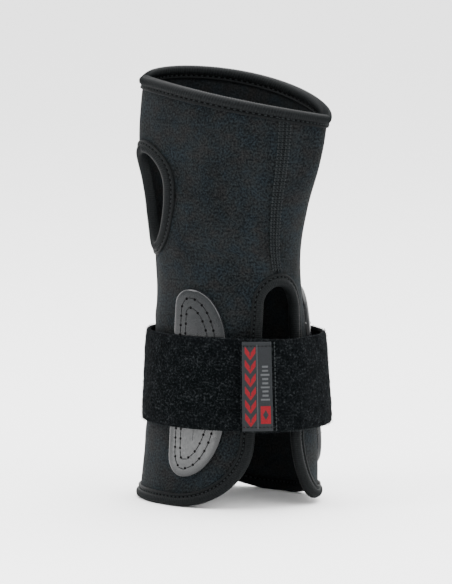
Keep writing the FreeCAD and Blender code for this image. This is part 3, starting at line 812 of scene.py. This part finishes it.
def strap_length(name, phi_a, phi_b, point_at, cap_a, cap_b, seed):
    """A length of loop tape: rounded edges, brushed pile standing off the outer face, smooth back."""
    n = max(6, int(abs(phi_b - phi_a) * 0.80 / 0.75))
    phi = np.linspace(phi_a, phi_b, n)
    section = []
    r = 1.15
    outer_z = np.linspace(STRAP_LOW + r, STRAP_HIGH - r, 60)
    section += [(z, 0.0, 1.0) for z in outer_z]
    for t in (25, 55, 90, 125, 155):
        a = math.radians(t)
        section.append((STRAP_HIGH - r + r * math.sin(a), -1.2 + 1.2 * math.cos(a), 0.5))
    section += [(z, -STRAP_THICK, 0.15) for z in np.linspace(STRAP_HIGH - r, STRAP_LOW + r, 16)]
    for t in (155, 125, 90, 55, 25):
        a = math.radians(t)
        section.append((STRAP_LOW + r - r * math.sin(a), -1.2 + 1.2 * math.cos(a), 0.5))
    k = len(section)
    zz = np.array([s[0] for s in section])[None, :]
    off = np.array([s[1] for s in section])[None, :]
    pile = np.array([s[2] for s in section])[None, :]
    pp = np.broadcast_to(phi[:, None], (n, k))
    zz = np.broadcast_to(zz, (n, k)).copy()
    # the tape's edges curl in a little, and its run waves slightly
    rest = point_at(pp, zz, 0.0)
    curl = np.exp(-((zz - STRAP_LOW) / 4.0) ** 2) + np.exp(-((STRAP_HIGH - zz) / 4.0) ** 2)
    wave = 0.30 * wobble(rest, 22.0, 9.0)
    fuzz = 0.24 * wobble(rest, 1.4, 11.0) + 0.30 * wobble(rest, 2.6, 12.0)
    zz = zz + 0.35 * wobble(rest, 16.0, 14.0) * (0.2 + 0.8 * (np.abs(zz - STRAP_MIDDLE) / 24.0) ** 4)
    verts = point_at(pp, zz, off - 0.35 * curl + wave + fuzz * pile)
    faces = grid_faces(n, k, wrap_columns=True).tolist()
    arcs = np.concatenate([[0.0], np.cumsum(np.linalg.norm(np.diff(verts[:, 20], axis=0), axis=1))])
    uv = np.stack([np.broadcast_to(arcs[:, None], (n, k)), np.where(pile > 0.3, zz, zz + 60.0)], axis=-1)
    flat = verts.reshape(-1, 3)
    if cap_a:
        faces.append(list(range(k))[::-1])
    if cap_b:
        faces.append([(n - 1) * k + i for i in range(k)])
    # loose fibres of the pile
    rng = np.random.default_rng(seed)
    area = arcs[-1] * (STRAP_HIGH - STRAP_LOW)
    m = int(area * 0.70)
    fp = phi_a + (phi_b - phi_a) * rng.random(m)
    fz = STRAP_LOW + (STRAP_HIGH - STRAP_LOW) * rng.random(m)
    edge = rng.random(m) < 0.22
    low = rng.random(m) < 0.5
    fz = np.where(edge, np.where(low, STRAP_LOW + 0.2, STRAP_HIGH - 0.2), fz)
    p, nrm = normals_of(point_at, fp, fz, np.where(edge, -0.9, -0.05))
    out = rng.normal(size=(m, 3)) * 0.75 + nrm * 0.75
    out[:, 2] += np.where(edge, np.where(low, -1.1, 1.1), 0.0)
    out /= np.linalg.norm(out, axis=1, keepdims=True)
    side = np.cross(out, rng.normal(size=(m, 3)))
    side /= np.linalg.norm(side, axis=1, keepdims=True)
    size = (0.45 + 0.75 * rng.random(m))[:, None]
    drop = rng.normal(size=(m, 3)) * 0.25
    half = 0.06
    # each fibre is a flat blade: two root points, two at its bend and one at its tip
    bend_a = p + out * size * 0.6 + side * half * 0.8 + drop * 0.4
    bend_b = p + out * size * 0.6 - side * half * 0.8 + drop * 0.4
    strands = np.stack([p - side * half, p + side * half, bend_a, bend_b, p + out * size + drop], axis=1)
    base = len(flat)
    first = base + 5 * np.arange(m)
    quads = np.stack([first, first + 1, first + 2, first + 3], axis=-1).tolist()
    tips = np.stack([first + 3, first + 2, first + 4], axis=-1).tolist()
    strand_uv = np.repeat(np.stack([fp, fz], axis=-1), 5, axis=0)
    body_faces = len(faces)
    piece = new_piece(name, np.concatenate([flat, strands.reshape(-1, 3)]), faces + quads + tips,
                      np.concatenate([uv.reshape(-1, 2), strand_uv]), PILE, (FIBRE,))
    index = np.zeros(len(piece.data.polygons), dtype=np.int32)
    index[body_faces:] = 1
    piece.data.polygons.foreach_set("material_index", index)
    return piece


strap_back = strap_length("strap_anchored_run", FIXED_END + 360.0, 185.0, strap_face, True, False, 21)
strap_palm = strap_length("strap_palm_run", 185.0, 108.0, tab_face, False, False, 22)
strap_edge = strap_length("strap_edge_run", 108.0, 66.0, tab_face, False, False, 23)
strap_tab = strap_length("strap_tab_run", 66.0, TAB_END, tab_face, False, True, 24)

# ---------------------------------------------------------------- label, hook patch and sewing on the strap
LABEL_A = 19.6
LABEL_B = 37.2
LABEL_WIDE = 16.5
LABEL_TALL = 46.9
LABEL_Z0 = STRAP_LOW + 0.8
LABEL_Z1 = STRAP_HIGH - 0.8
GROUND = (0.0145, 0.0160, 0.0175)
RED = (0.1350, 0.0062, 0.0100)
GREY = (0.0560, 0.0590, 0.0620)


def woven_design(u, v):
    """Colours of a generic motif: red chevrons, a grey rule, a ladder of grey ticks and a red tile."""
    color = np.empty(u.shape + (3,))
    color[:] = GROUND
    x = (u - 0.275) / 0.175
    inside = (np.abs(x) < 1) & (v > 0.05) & (v < 0.945)
    beat = (v - 0.05) / 0.895 * 6.0
    chevron = np.mod(beat - 0.55 * np.abs(x), 1.0)
    red = inside & (chevron < 0.50) & ~((np.abs(x) < 0.12) & (chevron > 0.30))
    color[red] = RED
    color[(np.abs(u - 0.50) < 0.012) & (v > 0.03) & (v < 0.97)] = GREY
    tick = np.mod((v - 0.345) / 0.415 * 9.0, 1.0)
    number = np.floor((v - 0.345) / 0.415 * 9.0)
    wide = np.where(np.mod(number, 3) == 0, 0.145, 0.095)
    ticks = (v > 0.345) & (v < 0.76) & (tick < 0.46) & (np.abs(u - 0.76) < wide)
    color[ticks] = GREY
    tile = (np.abs(u - 0.755) < 0.165) & (np.abs(v - 0.185) < 0.100)
    core = np.abs(u - 0.755) / 0.095 + np.abs(v - 0.185) / 0.058 < 1.0
    color[tile & ~core] = RED
    return color


def make_label():
    nu, nv = 118, 320
    u = np.linspace(0.0, 1.0, nu)[:, None]
    v = np.linspace(0.0, 1.0, nv)[None, :]
    uu, vv = np.broadcast_arrays(u, v)
    phi = LABEL_A + (LABEL_B - LABEL_A) * uu
    z = LABEL_Z0 + (LABEL_Z1 - LABEL_Z0) * vv
    rest = tab_face(phi, z, 0.0)
    border = np.minimum(np.minimum(uu, 1 - uu) * LABEL_WIDE, np.minimum(vv, 1 - vv) * LABEL_TALL)
    off = 0.80 + 0.30 * wobble(rest, 22.0, 9.0) + 0.10 * wobble(rest, 7.0, 31.0)
    off = off - 0.55 * np.exp(-(border / 0.35) ** 2)
    off = off - 0.22 * np.exp(-((np.abs(vv - 0.5) * LABEL_TALL - 21.2) / 0.5) ** 2)
    top = tab_face(phi, z, off)
    verts = [top.reshape(-1, 3)]
    faces = grid_faces(nu, nv).tolist()
    ring = [(i, 0) for i in range(nu)] + [(nu - 1, j) for j in range(1, nv)]
    ring += [(i, nv - 1) for i in range(nu - 2, -1, -1)] + [(0, j) for j in range(nv - 2, 0, -1)]
    base = nu * nv
    low = np.array([tab_face(phi[i, j], z[i, j], -0.3) for i, j in ring])
    verts.append(low)
    for n, (i, j) in enumerate(ring):
        m = (n + 1) % len(ring)
        faces.append([i * nv + j, base + n, base + m, ring[m][0] * nv + ring[m][1]])
    weave_mm = np.stack([uu * LABEL_WIDE, vv * LABEL_TALL], axis=-1)
    uv = np.concatenate([weave_mm.reshape(-1, 2), np.zeros((len(ring), 2))])
    color = woven_design(uu, vv)
    grain_at = np.concatenate([weave_mm, np.zeros((nu, nv, 1))], axis=-1)
    grain = 1.0 + 0.16 * wobble(grain_at, 0.5, 33.0)
    color = color * grain[..., None]
    colors = np.concatenate([color.reshape(-1, 3), np.tile(np.array(GROUND), (len(ring), 1))])

    mat, nodes, links, bsdf = shader("woven_label", 0.70, 0.08, 0.0, 0.4)
    attribute = nodes.new("ShaderNodeAttribute")
    attribute.attribute_name = "thread_color"
    weave_a = nodes.new("ShaderNodeTexWave")
    weave_a.inputs["Scale"].default_value = 0.9
    links.new(scaled_uv(nodes, links, 1.0, 0.0), weave_a.inputs["Vector"])
    weave_b = nodes.new("ShaderNodeTexWave")
    weave_b.bands_direction = "Y"
    weave_b.inputs["Scale"].default_value = 0.9
    links.new(scaled_uv(nodes, links, 0.0, 1.0), weave_b.inputs["Vector"])
    weave = maths(nodes, links, "MULTIPLY", weave_a.outputs["Fac"], weave_b.outputs["Fac"])
    shade = ramp(nodes, links, weave, ((0.0, (0.80, 0.80, 0.80)), (1.0, (1.15, 1.15, 1.15))))
    woven = mix_color(nodes, links, 1.0, attribute.outputs["Color"], shade, "MULTIPLY")
    links.new(woven, bsdf.inputs["Base Color"])
    bump(nodes, links, weave, bsdf, 0.4, 0.00015)
    piece = new_piece("woven_label", np.concatenate(verts), faces, uv, mat)
    layer = piece.data.color_attributes.new("thread_color", "FLOAT_COLOR", "POINT")
    rgba = np.concatenate([colors, np.ones((len(colors), 1))], axis=1)
    layer.data.foreach_set("color", rgba.ravel())
    return piece


label = make_label()


def stitch_row(name, phis, zs, point_at, off, length, radius, material):
    p, normal = normals_of(point_at, phis, zs, off)
    d = np.gradient(p, axis=0)
    return capsules(name, p, d, normal, length, radius, material)


bar = np.linspace(20.6, 36.2, 8)
upper_z = np.full(8, STRAP_HIGH - 3.0)
lower_z = np.full(8, STRAP_LOW + 3.0)
upper_bar = stitch_row("label_upper_stitches", bar, upper_z, tab_face, 0.62, 1.45, 0.26, THREAD)
lower_bar = stitch_row("label_lower_stitches", bar, lower_z, tab_face, 0.62, 1.45, 0.26, THREAD)
column = np.linspace(STRAP_LOW + 1.6, STRAP_HIGH - 1.6, 24)
tab_row = stitch_row("tab_stitches", np.full(24, 39.0), column, tab_face, 0.30, 1.5, 0.36, SEAM_THREAD)
# box of stitches that anchors the strap: across the top, down, back and up again
BOX_A = 196.6
BOX_B = 223.4
BOX_LOW = 50.6
BOX_HIGH = 82.9
ACROSS = 13
DOWN = 17
box_phi = np.concatenate([np.linspace(BOX_A, BOX_B, ACROSS), np.full(DOWN, BOX_B),
                          np.linspace(BOX_B, BOX_A, ACROSS), np.full(DOWN, BOX_A)])
box_z = np.concatenate([np.full(ACROSS, BOX_HIGH), np.linspace(BOX_HIGH, BOX_LOW, DOWN),
                        np.full(ACROSS, BOX_LOW), np.linspace(BOX_LOW, BOX_HIGH, DOWN)])
anchor = stitch_row("strap_anchor_stitches", box_phi, box_z, strap_face, 0.20, 1.6, 0.34, SEAM_THREAD)


def make_hook_patch():
    """Hook tape under the tab: a moulded backing with rows of tiny hooks pointing at the strap."""
    nu, nv = 24, 80
    u = np.linspace(TAB_END + 1.0, 35.0, nu)[:, None]
    v = np.linspace(STRAP_LOW + 1.5, STRAP_HIGH - 1.5, nv)[None, :]
    uu, vv = np.broadcast_arrays(u, v)
    top = tab_face(uu, vv, -STRAP_THICK - 0.55)
    back = tab_face(uu, vv, -STRAP_THICK + 0.25)
    verts = np.concatenate([top.reshape(-1, 3), back.reshape(-1, 3)])
    front = grid_faces(nu, nv)[:, ::-1].tolist()
    faces = list(front)
    faces += [[f[3] + nu * nv, f[2] + nu * nv, f[1] + nu * nv, f[0] + nu * nv] for f in front]
    ring = [i * nv for i in range(nu)] + [(nu - 1) * nv + j for j in range(1, nv)]
    ring += [i * nv + nv - 1 for i in range(nu - 2, -1, -1)] + list(range(nv - 2, 0, -1))
    for n in range(len(ring)):
        a, b = ring[n], ring[(n + 1) % len(ring)]
        faces.append([b, a, a + nu * nv, b + nu * nv])
    mat, nodes, links, bsdf = shader("hook_tape", 0.55, 0.4)
    fine = noise_tex(nodes, links, scaled_uv(nodes, links, 1.4, 1.4), 2.0, 0.5)
    links.new(ramp(nodes, links, fine, ((0.3, (0.010, 0.011, 0.012)), (0.7, (0.026, 0.028, 0.030)))),
              bsdf.inputs["Base Color"])
    bump(nodes, links, fine, bsdf, 0.5, 0.0002)
    uv = np.stack([uu * 0.8, vv], axis=-1).reshape(-1, 2)
    piece = new_piece("hook_patch_tape", verts, faces, np.concatenate([uv, uv]), mat)
    hook_columns = np.linspace(TAB_END + 2.0, 34.0, 11)
    hook_rows = np.linspace(STRAP_LOW + 2.6, STRAP_HIGH - 2.6, 36)
    hu, hv = np.meshgrid(hook_columns, hook_rows, indexing="ij")
    hv = hv + 0.6 * (np.arange(11)[:, None] % 2)
    p, normal = normals_of(tab_face, hu.ravel(), hv.ravel(), -STRAP_THICK - 0.80)
    tilt = np.tile(np.array([[0.0, 0.0, 0.35]]), (len(p), 1))
    hooks = capsules("hook_patch_hooks", p, normal + tilt, np.cross(normal, tilt + 0.001), 0.62, 0.15, mat)
    return piece, hooks


hook_tape, hooks = make_hook_patch()

# ---------------------------------------------------------------- bodies and stand-ins
BENT = [sleeve_piece, cuff_tape, *cuff_threads, thumb_tape, *thumb_threads, seam_rows, seam_cover, seam_butt]
for piece in BENT:
    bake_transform(piece)
for piece in [rim_tape, *rim_threads]:
    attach(piece, "hand")
SEWN = [part for pair in dorsal_sewn + palmar_sewn for part in pair]
for piece in [dorsal, palmar, *SEWN, strap_back, anchor]:
    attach(piece, "cuff")
for piece in [label, upper_bar, lower_bar, tab_row, hook_tape, hooks]:
    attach(piece, "strap_tab")


def across_fold(piece, phi):
    """Bakes a strap length's transform; the fold line's point and direction are worked out but not applied.
    """
    p = tab_face(phi, STRAP_MIDDLE, 0.3)
    d = tab_face(phi - 1.0, STRAP_MIDDLE, 0.3) - tab_face(phi + 1.0, STRAP_MIDDLE, 0.3)
    d = d / np.linalg.norm(d)
    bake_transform(piece)


across_fold(strap_palm, FOLD_A)
across_fold(strap_edge, FOLD_B)
across_fold(strap_tab, FOLD_C)

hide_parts("cuff_panel", "wrist_panel", "hand_panel")
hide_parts("cuff_binding")
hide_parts("finger_binding")
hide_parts("thumb_binding")
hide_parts("seam_thread")
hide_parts("dorsal_splint")
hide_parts("palmar_splint")
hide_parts("dorsal_splint_outer_thread")
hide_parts("dorsal_splint_inner_thread")
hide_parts("palmar_splint_outer_thread")
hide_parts("palmar_splint_inner_thread")
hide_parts("strap_fixed")
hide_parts("strap_ulnar")
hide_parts("strap_bridge")
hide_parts("strap_tab")
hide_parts("anchor_thread")
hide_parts("label")
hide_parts("label_upper_thread")
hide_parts("label_lower_thread")
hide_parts("tab_thread")
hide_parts("hook_patch")

# ---------------------------------------------------------------- floor, light, camera
scene = bpy.context.scene


def floor_piece():
    bpy.ops.mesh.primitive_plane_add(size=60.0, location=(0.0, 0.0, -0.0002))
    plane = bpy.context.object
    plane.name = "studio_floor"
    mat, nodes, links, bsdf = shader("studio_floor", 0.9, 0.1)
    bsdf.inputs["Base Color"].default_value = (0.93, 0.93, 0.93, 1.0)
    plane.data.materials.append(mat)
    return plane


floor_piece()
world = bpy.data.worlds.new("studio_world")
scene.world = world
world.use_nodes = True
sky = world.node_tree.nodes
air = world.node_tree.links
# a white backdrop behind the guard, fading to the dimmer room in front of it
where = sky.new("ShaderNodeTexCoord")
split = sky.new("ShaderNodeSeparateXYZ")
air.new(where.outputs["Generated"], split.inputs[0])
fade = sky.new("ShaderNodeMapRange")
fade.interpolation_type = "SMOOTHSTEP"
for key, value in (("From Min", -0.55), ("From Max", 0.65), ("To Min", 1.1), ("To Max", 4.8)):
    fade.inputs[key].default_value = value
air.new(split.outputs["Y"], fade.inputs["Value"])
sky["Background"].inputs["Color"].default_value = (1.0, 1.0, 1.0, 1.0)
air.new(fade.outputs["Result"], sky["Background"].inputs["Strength"])


def softbox(name, location, target, size, power):
    data = bpy.data.lights.new(name, "AREA")
    data.shape = "RECTANGLE"
    data.size = size[0]
    data.size_y = size[1]
    data.energy = power
    obj = bpy.data.objects.new(name, data)
    scene.collection.objects.link(obj)
    obj.location = location
    aim = Vector(target) - Vector(location)
    obj.rotation_euler = aim.to_track_quat("-Z", "Y").to_euler()
    return obj


softbox("key_left", (-0.62, -0.55, 0.95), (0.0, 0.0, 0.22), (0.5, 0.5), 11.0)
softbox("fill_right", (0.85, -0.35, 0.85), (0.0, 0.0, 0.18), (0.6, 0.6), 7.0)
softbox("top_wash", (0.1, 0.1, 1.5), (0.0, 0.0, 0.0), (1.6, 1.6), 44.0)
softbox("low_card", (-0.175, -0.275, 0.013), (-0.03, -0.03, 0.026), (0.30, 0.024), 0.15)

AZIMUTH = math.radians(20.0)
ELEVATION = math.radians(7.4)
DISTANCE = 2.4
TARGET = Vector((-0.00477, 0.00101, 0.1106))
level = math.cos(ELEVATION)
back = Vector((math.sin(AZIMUTH) * level, -math.cos(AZIMUTH) * level, math.sin(ELEVATION)))
right = Vector((math.cos(AZIMUTH), math.sin(AZIMUTH), 0.0))
up = back.cross(right)
camera_data = bpy.data.cameras.new("photo_camera")
camera_data.sensor_width = 36.0
camera_data.lens = 278.0
camera_data.clip_end = 30.0
camera = bpy.data.objects.new("photo_camera", camera_data)
scene.collection.objects.link(camera)
place = Matrix((right, up, back)).transposed().to_4x4()
place.translation = TARGET + back * DISTANCE
camera.matrix_world = place
scene.camera = camera
